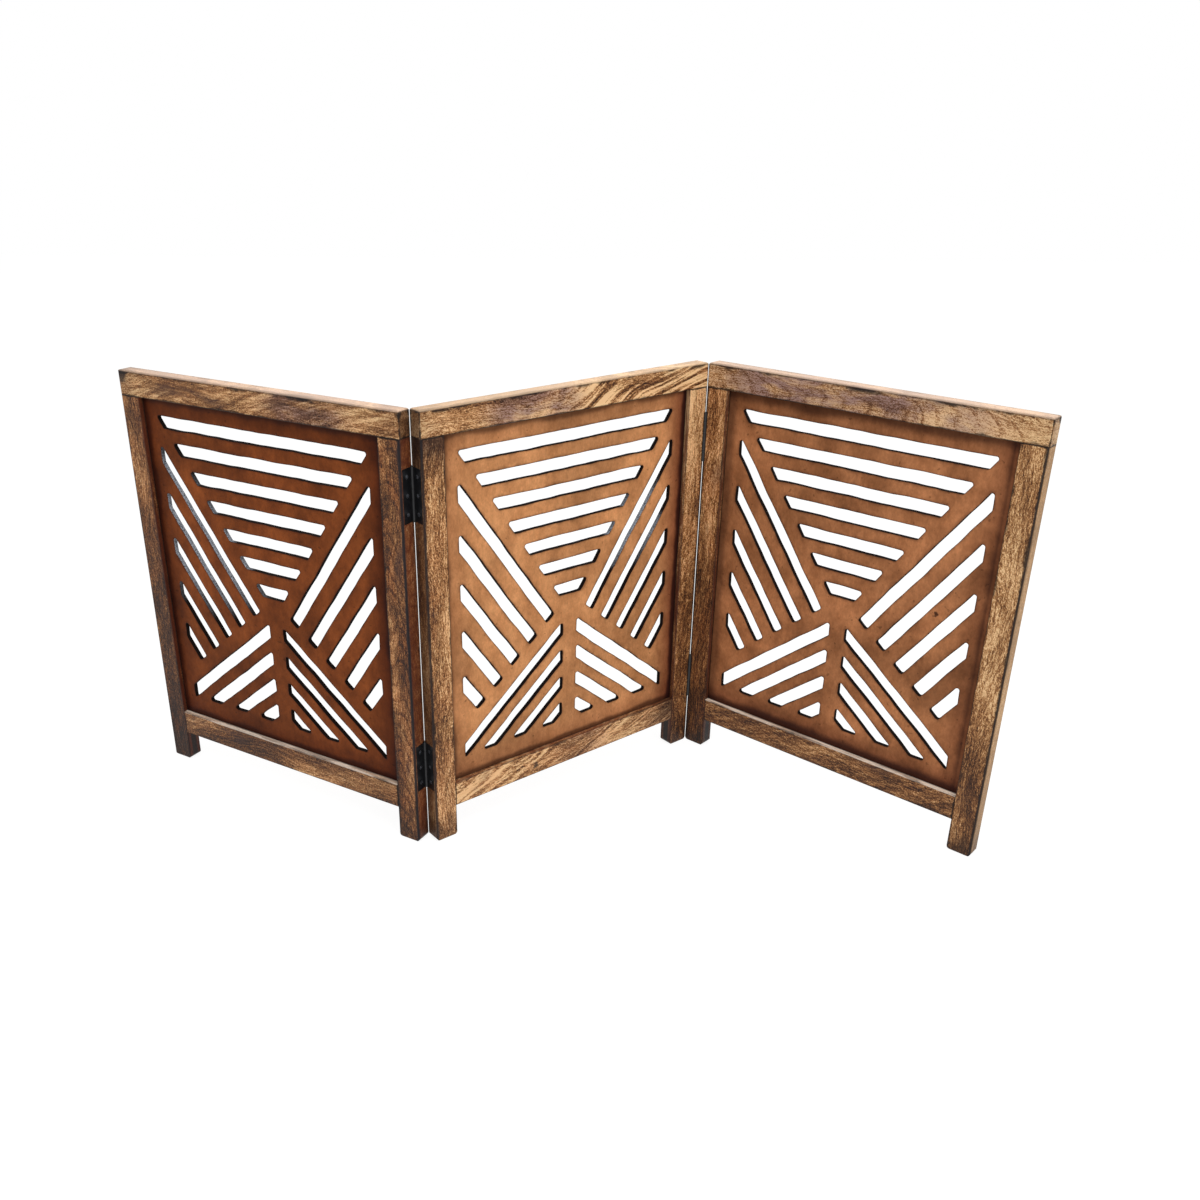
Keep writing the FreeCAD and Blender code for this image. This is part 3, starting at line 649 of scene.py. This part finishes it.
def slice_all(low, high, direction):
    """Cuts the piece along level planes a step apart, which leaves its shape as it was."""
    for i in range(int((high - low) / SLICE_STEP) + 1):
        place = low + i * SLICE_STEP
        bpy.ops.mesh.select_all(action="SELECT")
        bpy.ops.mesh.bisect(plane_co=[share * place for share in direction], plane_no=direction)


def waver(piece, name, direction, wave, seed):
    """Moves the slots' outlines a little to and fro, as a hand-guided cutter does."""
    pattern = bpy.data.textures.new(name, "CLOUDS")
    pattern.noise_scale = wave
    pattern.noise_depth = 1
    origin = bpy.data.objects.new(name + "_origin", None)
    origin.location = seed
    bpy.context.scene.collection.objects.link(origin)
    bpy.context.view_layer.update()
    change = piece.modifiers.new(name, "DISPLACE")
    change.texture = pattern
    change.texture_coords = "OBJECT"
    change.texture_coords_object = origin
    change.direction = direction
    change.mid_level = 0.5
    change.strength = CUTTER_WAVER
    change.vertex_group = "slotted"
    pick(piece)
    bpy.ops.object.modifier_apply(modifier=change.name)
    bpy.data.objects.remove(origin)


def mark_slotted(piece):
    """Marks what may waver: all of the board but a margin inside the frame."""
    slotted = piece.vertex_groups.new(name="slotted")
    for vertex in piece.data.vertices:
        margin = min(OPENING_HALF - abs(vertex.co.x), OPENING_TOP - vertex.co.z,
                     vertex.co.z - OPENING_BOTTOM)
        slotted.add([vertex.index], min(max(margin / CALM_MARGIN, 0.0), 1.0), "REPLACE")


def keep_slot_distance(piece):
    """Writes how far each point is from the nearest slot wall, in millimetres."""
    mesh = piece.data
    walls = []
    for face in mesh.polygons:
        inside = all(abs(mesh.vertices[i].co.x) < SLOTTED_HALF for i in face.vertices)
        if abs(face.normal.y) < 0.1 and inside:
            walls.append(tuple(face.vertices))
    finder = BVHTree.FromPolygons([vertex.co for vertex in mesh.vertices], walls)
    kept = mesh.attributes.new("slot_distance", "FLOAT", "POINT")
    for index, vertex in enumerate(mesh.vertices):
        nearest_place, nearest_normal, nearest_wall, distance = finder.find_nearest(vertex.co)
        kept.data[index].value = min(distance * 1000.0, FARTHEST_KEPT)


def dress_board(panel, seed, material):
    """The slotted board, with uneven softened slot rims and the distance to them kept on it."""
    node = panel + "_panel_slotted_board"
    placed = Matrix.Translation(panel_origin(panel)) @ Matrix.Rotation(
        math.radians(PANEL_TURN[panel]), 4, "Z")
    piece = bpy.data.objects.new(panel + "_stained_board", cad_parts[node].data.copy())
    bpy.context.scene.collection.objects.link(piece)
    pick(piece)
    bpy.ops.mesh.customdata_custom_splitnormals_clear()
    piece.data.transform(placed.inverted())

    # The copy's loose triangles are merged, its rims divided and softened, its faces sliced.
    bpy.ops.object.mode_set(mode="EDIT")
    bpy.ops.mesh.select_all(action="SELECT")
    bpy.ops.mesh.remove_doubles(threshold=0.00002)
    bpy.ops.mesh.dissolve_limited(angle_limit=math.radians(0.6))
    while select_rims(piece, LONGEST_RIM) > 0:
        bpy.ops.mesh.subdivide(number_cuts=1)
    select_rims(piece)
    bpy.ops.mesh.bevel(offset=RIM_SOFTENING, segments=2, affect="EDGES", clamp_overlap=True)
    slice_all(-SLICED_HALF, SLICED_HALF, (1.0, 0.0, 0.0))
    slice_all(SLICED_BOTTOM, SLICED_TOP, (0.0, 0.0, 1.0))
    bpy.ops.object.mode_set(mode="OBJECT")

    mark_slotted(piece)
    waver(piece, "cutter_sideways", "X", SIDEWAYS_WAVE, seed)
    waver(piece, "cutter_upwards", "Z", UPWARDS_WAVE, seed)
    bpy.ops.object.shade_smooth_by_angle(angle=math.radians(35.0))
    keep_slot_distance(piece)
    piece.data.transform(placed)
    piece.data.materials.clear()
    piece.data.materials.append(material)
    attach(piece, panel + "_panel")
    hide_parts(node)


# The twelve bars of the frames. A top rail gets a painted sheen on top, a bottom rail a painted highlight
# where it meets the board, and the inner faces of the stiles and top rails get painted shade.
BARS = [
    ("left_panel_left_stile", HALF_STILE, {
        "Seed": 1.1, "Gold": 0.28, "Fade": 0.6, "Red": 0.50, "Scorch": 1.1, "Dark start": 0.5,
        "Inner shade and ledge highlight": tone(92, 42, 26), "Inner shade and highlight share": 0.85}),
    ("left_panel_right_stile", HALF_STILE, {
        "Seed": 2.6, "Gold": 0.46, "Red": 0.60, "Arcs": 0.8, "Board side": -1.0, "Outer scorch": 0.6,
        "Outer line": 0.95, "Line width": 0.0048, "Dark start": 0.6, "Outer tone and top sheen": tone(104, 48, 26),
        "Outer tone and sheen share": 0.85}),
    ("left_panel_top_rail", HALF_TOP_RAIL, {
        "Seed": 3.2, "Gold": 0.67, "Red": 0.30, "Curl": 0.4, "Cool": 0.9, "Cool place": 0.09,
        "Cool reach": 0.09, "Scorch": 1.1, "Outer scorch": 1.2, "Board side": -1.0,
        "Dark start": 0.35, "Dark end": 0.2, "End char": 0.7, "Outer tone and top sheen": PAINTED_TOP_SHEEN,
        "Outer tone and sheen share": 0.85, "Mark place": (-0.234, 0.0, 0.010), "Mark reach": 0.013}),
    ("left_panel_bottom_rail", HALF_BOTTOM_RAIL, {
        "Seed": 4.7, "Gold": 0.42, "Red": 0.35, "Scorch": 0.9, "Inner shade and ledge highlight": PAINTED_LEDGE_HIGHLIGHT,
        "Inner shade and highlight share": 0.9}),
    ("middle_panel_left_stile", HALF_STILE, {
        "Seed": 5.3, "Gold": 0.70, "Red": 0.35, "Outer scorch": 0.6, "Outer line": 0.75,
        "Line width": 0.0036, "Dark end": 0.95, "Dark start": 0.5, "Outer tone and top sheen": tone(48, 26, 18),
        "Outer tone and sheen share": 0.85}),
    ("middle_panel_right_stile", HALF_STILE, {
        "Seed": 6.9, "Gold": 0.60, "Fade": 0.9, "Red": 0.35, "Board side": -1.0, "Outer line": 0.5,
        "Line width": 0.0022, "Dark start": 0.7, "Inner shade and ledge highlight": tone(84, 42, 28),
        "Inner shade and highlight share": 0.85, "Outer tone and top sheen": tone(44, 26, 18), "Outer tone and sheen share": 0.8}),
    ("middle_panel_top_rail", HALF_TOP_RAIL, {
        "Seed": 7.4, "Gold": 0.85, "Red": 0.24, "Curl": 1.35, "Curl start": 0.0, "Cool": 0.95,
        "Cool place": -0.07, "Cool reach": 0.10, "Outer scorch": 0.8, "Board side": -1.0,
        "Dark start": 0.3, "End char": 0.7, "Outer tone and top sheen": PAINTED_WARM_SHEEN, "Outer tone and sheen share": 0.85}),
    ("middle_panel_bottom_rail", HALF_BOTTOM_RAIL, {
        "Seed": 8.8, "Gold": 0.80, "Red": 0.35, "Curl": 0.7, "Cool": 0.4, "Cool place": 0.02,
        "Cool reach": 0.06, "Scorch": 0.8, "Dark end": 0.8, "Inner shade and ledge highlight": tone(120, 66, 44),
        "Inner shade and highlight share": 0.7, "Mark place": (-0.066, 0.0, -0.005), "Mark reach": 0.007}),
    ("right_panel_left_stile", HALF_STILE, {
        "Seed": 9.5, "Gold": 0.42, "Fade": 0.5, "Red": 0.45, "Outer line": 0.7,
        "Line width": 0.0034, "Dark start": 0.7, "Inner shade and ledge highlight": tone(84, 42, 28),
        "Inner shade and highlight share": 0.85, "Outer tone and top sheen": tone(50, 28, 20), "Outer tone and sheen share": 0.8}),
    ("right_panel_right_stile", HALF_STILE, {
        "Seed": 10.2, "Gold": 0.53, "Fade": 0.3, "Red": 0.10, "Board side": -1.0,
        "Outer scorch": 0.4, "Outer line": 0.92, "Line width": 0.0033, "Dark start": 0.75,
        "Outer tone and top sheen": tone(196, 156, 108), "Outer tone and sheen share": 0.7}),
    ("right_panel_top_rail", HALF_TOP_RAIL, {
        "Seed": 11.6, "Gold": 0.92, "Red": 0.15, "Arcs": 0.72, "Curl": 0.05, "Cool": 1.0,
        "Cool place": -0.03, "Cool reach": 0.27, "Scorch": 1.15, "Outer scorch": 1.2,
        "Board side": -1.0, "Dark end": 0.15, "End char": 0.35, "Outer tone and top sheen": PAINTED_TOP_SHEEN,
        "Outer tone and sheen share": 0.85}),
    ("right_panel_bottom_rail", HALF_BOTTOM_RAIL, {
        "Seed": 12.3, "Gold": 0.47, "Red": 0.15, "Curl": 0.3, "Inner shade and ledge highlight": PAINTED_LEDGE_HIGHLIGHT,
        "Inner shade and highlight share": 0.9}),
]
for node, half, looks in BARS:
    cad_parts[node].material_slots[0].material = bar_material(node, half, looks)

# The three boards: where the cutter's waver starts, and the looks.
BOARDS = [
    ("left", (0.31, 0.0, 0.17), {
        "Seed": 2.2, "Stain": tone(124, 65, 30), "Patchy": 1.7, "Left": 0.60, "Right": 0.85,
        "Top": 0.50, "Bottom": 0.65, "Edge reach": 0.012, "Glint place": (-0.115, 0.0, 0.41),
        "Glint reach": 0.15, "Glint slope": 1.25}),
    ("middle", (0.83, 0.0, 0.47), {
        "Seed": 5.1, "Stain": tone(197, 139, 92), "Patchy": 1.1, "Left": 0.30, "Right": 0.98,
        "Top": 0.30, "Bottom": 0.50, "Edge reach": 0.010, "Glint place": (0.11, 0.0, 0.40),
        "Glint reach": 0.07, "Glint slope": -1.25}),
    ("right", (0.57, 0.0, 0.91), {
        "Seed": 8.4, "Stain": tone(162, 108, 71), "Patchy": 1.6, "Left": 0.12, "Right": 0.65,
        "Top": 0.28, "Bottom": 0.75, "Edge reach": 0.017, "Bare strip": 0.85,
        "Mark place": (0.1345, 0.0, 0.3315)}),
]
for panel, cutter_start, looks in BOARDS:
    dress_board(panel, cutter_start, board_material(panel, looks))

# Hinges, screws and dowels.
black_paint = steel_material("black_paint", colour=tone(10, 11, 14), metallic=0.0, roughness=0.24,
                             worn=tone(34, 35, 40))
bright_screw = steel_material("bright_screw", colour=tone(176, 178, 184), metallic=1.0,
                              roughness=0.16, worn=tone(60, 60, 62))
DOWEL_LOOKS = {"Seed": 13.0, "Gold": 0.85, "Scorch": 0.0, "Board side": 0.0}
for node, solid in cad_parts.items():
    if node.endswith("_leaf") or node.endswith("_pin"):
        solid.material_slots[0].material = black_paint
    if node.endswith("_screws"):
        solid.material_slots[0].material = bright_screw
    if node.endswith("_dowels"):
        solid.material_slots[0].material = bar_material(node, HALF_WITHOUT_ARRIS, DOWEL_LOOKS)


def seen_or_mirrored(tree):
    """1 for what the camera sees straight, in a reflection or through glass, and else 0."""
    path = tree.nodes.new("ShaderNodeLightPath")
    seen = calc(tree, "MAXIMUM", path.outputs["Is Camera Ray"], path.outputs["Is Glossy Ray"])
    return calc(tree, "MAXIMUM", seen, path.outputs["Is Transmission Ray"])


def pale_stage(name, shade, keeps_shadow, glow_strength):
    """White to the camera and in reflections, with a share of its own shading kept."""
    material = bpy.data.materials.new(name)
    material.use_nodes = True
    tree = material.node_tree
    tree.nodes.clear()
    matt = tree.nodes.new("ShaderNodeBsdfDiffuse")
    matt.inputs["Color"].default_value = shade
    glow = tree.nodes.new("ShaderNodeEmission")
    glow.inputs["Color"].default_value = WHITE
    glow.inputs["Strength"].default_value = glow_strength
    mixed = tree.nodes.new("ShaderNodeMixShader")
    share = calc(tree, "MULTIPLY", seen_or_mirrored(tree), 1.0 - keeps_shadow)
    tree.links.new(share, mixed.inputs[0])
    tree.links.new(matt.outputs[0], mixed.inputs[1])
    tree.links.new(glow.outputs[0], mixed.inputs[2])
    output = tree.nodes.new("ShaderNodeOutputMaterial")
    tree.links.new(mixed.outputs[0], output.inputs["Surface"])
    return material


# The floor.
FLOOR_SIZE = 14.0
bpy.ops.object.select_all(action="DESELECT")
bpy.ops.mesh.primitive_plane_add(size=FLOOR_SIZE, location=(0.0, 0.0, 0.0))
floor = bpy.context.active_object
floor.name = "floor"
floor.data.materials.append(
    pale_stage("pale_floor", shade=(0.86, 0.86, 0.86, 1.0), keeps_shadow=0.25, glow_strength=1.18))

# The air around: white to the camera, softer on the object.
AIR_ON_OBJECT = 0.55
AIR_ADDED_WHERE_SEEN = 0.45
world = bpy.data.worlds.new("pale_air")
bpy.context.scene.world = world
world.use_nodes = True
air = world.node_tree
air.nodes.clear()
strength = calc(air, "MULTIPLY_ADD", seen_or_mirrored(air), AIR_ADDED_WHERE_SEEN, AIR_ON_OBJECT)
background = air.nodes.new("ShaderNodeBackground")
background.inputs["Color"].default_value = WHITE
air.links.new(strength, background.inputs["Strength"])
sky_output = air.nodes.new("ShaderNodeOutputWorld")
air.links.new(background.outputs[0], sky_output.inputs["Surface"])


def soft_light(name, place, target, width, depth, watts, colour):
    lamp = bpy.data.lights.new(name, "AREA")
    lamp.shape = "RECTANGLE"
    lamp.size = width
    lamp.size_y = depth
    lamp.energy = watts
    lamp.color = colour
    holder = bpy.data.objects.new(name, lamp)
    bpy.context.scene.collection.objects.link(holder)
    holder.location = place
    aim = Vector(target) - Vector(place)
    holder.rotation_euler = aim.to_track_quat("-Z", "Y").to_euler()


soft_light("overhead", place=(0.2, -0.5, 2.3), target=(0.0, 0.0, 0.3), width=2.6, depth=1.8,
           watts=32.0, colour=(1.0, 0.98, 0.95))
soft_light("front_right", place=(1.9, -2.2, 1.5), target=(0.1, 0.0, 0.3), width=1.4, depth=1.2,
           watts=14.0, colour=(1.0, 0.98, 0.96))

# The camera, as it stood for the photograph.
camera_data = bpy.data.cameras.new("camera")
camera = bpy.data.objects.new("camera", camera_data)
bpy.context.scene.collection.objects.link(camera)
bpy.context.scene.camera = camera
camera.location = (0.05485, -1.47270, 0.92455)
camera.rotation_euler = (math.radians(65.19), math.radians(0.053), math.radians(3.155))
camera_data.sensor_width = 36.0
camera_data.lens = 33.885
camera_data.shift_x = 0.0578
camera_data.shift_y = 0.0323
camera_data.clip_end = 60.0

bpy.context.scene.view_settings.view_transform = "Standard"
